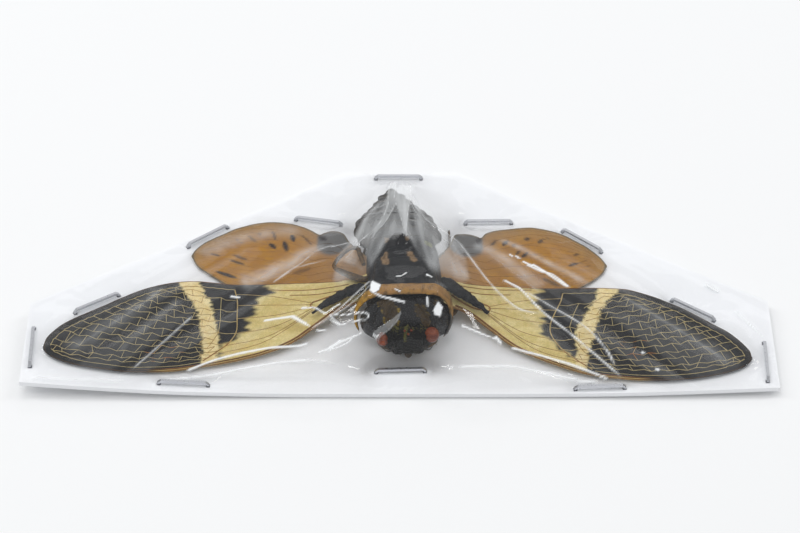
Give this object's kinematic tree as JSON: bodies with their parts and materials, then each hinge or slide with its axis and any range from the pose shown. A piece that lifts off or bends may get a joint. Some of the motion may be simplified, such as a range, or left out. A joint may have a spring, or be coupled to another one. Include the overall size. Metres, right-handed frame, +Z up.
{
  "type": "mounted cicada on card under clear film",
  "caption": "Large dark cicada with yellow-veined black forewings and orange hind wings, spread on a white card under stapled clear film.",
  "frame": {"origin": "the point on the card's underside under the middle of the card's width and depth, where it lies on the table", "axes": "+Z up, +X along the wingspan to the right as seen from the insect's head end, +Y from the head towards the tip of the abdomen"},
  "size_m": [0.137, 0.0548, 0.0129],
  "materials": {
    "card": "matte",
    "film": "gloss",
    "staples": "satin",
    "shell": "gloss",
    "collar": "satin",
    "abdomen": "satin",
    "eyes": "gloss",
    "legs": "satin",
    "forewings": "satin",
    "hindwings": "satin"
  },
  "bodies": {
    "root": {"card": "card", "film": "film", "staple_front_left": "staples", "staple_front_middle": "staples", "staple_front_right": "staples", "staple_side_left": "staples", "staple_side_right": "staples", "staple_cut_left_low": "staples", "staple_cut_left_mid": "staples", "staple_cut_left_high": "staples", "staple_back": "staples", "staple_cut_right_high": "staples", "staple_cut_right_mid": "staples", "staple_cut_right_low": "staples", "head": "shell", "eye_left": "eyes", "eye_right": "eyes", "antenna_left": "shell", "antenna_right": "shell", "rostrum": "legs", "pronotum": "shell", "pronotum_collar": "collar", "mesothorax": "shell", "abdomen": "abdomen", "forewing_left": "forewings", "forewing_right": "forewings", "hindwing_left": "hindwings", "hindwing_right": "hindwings", "leg_front_left": "legs", "leg_front_right": "legs", "leg_middle_left": "legs", "leg_middle_right": "legs", "leg_hind_left": "legs", "leg_hind_right": "legs"}
  },
  "joints": []
}
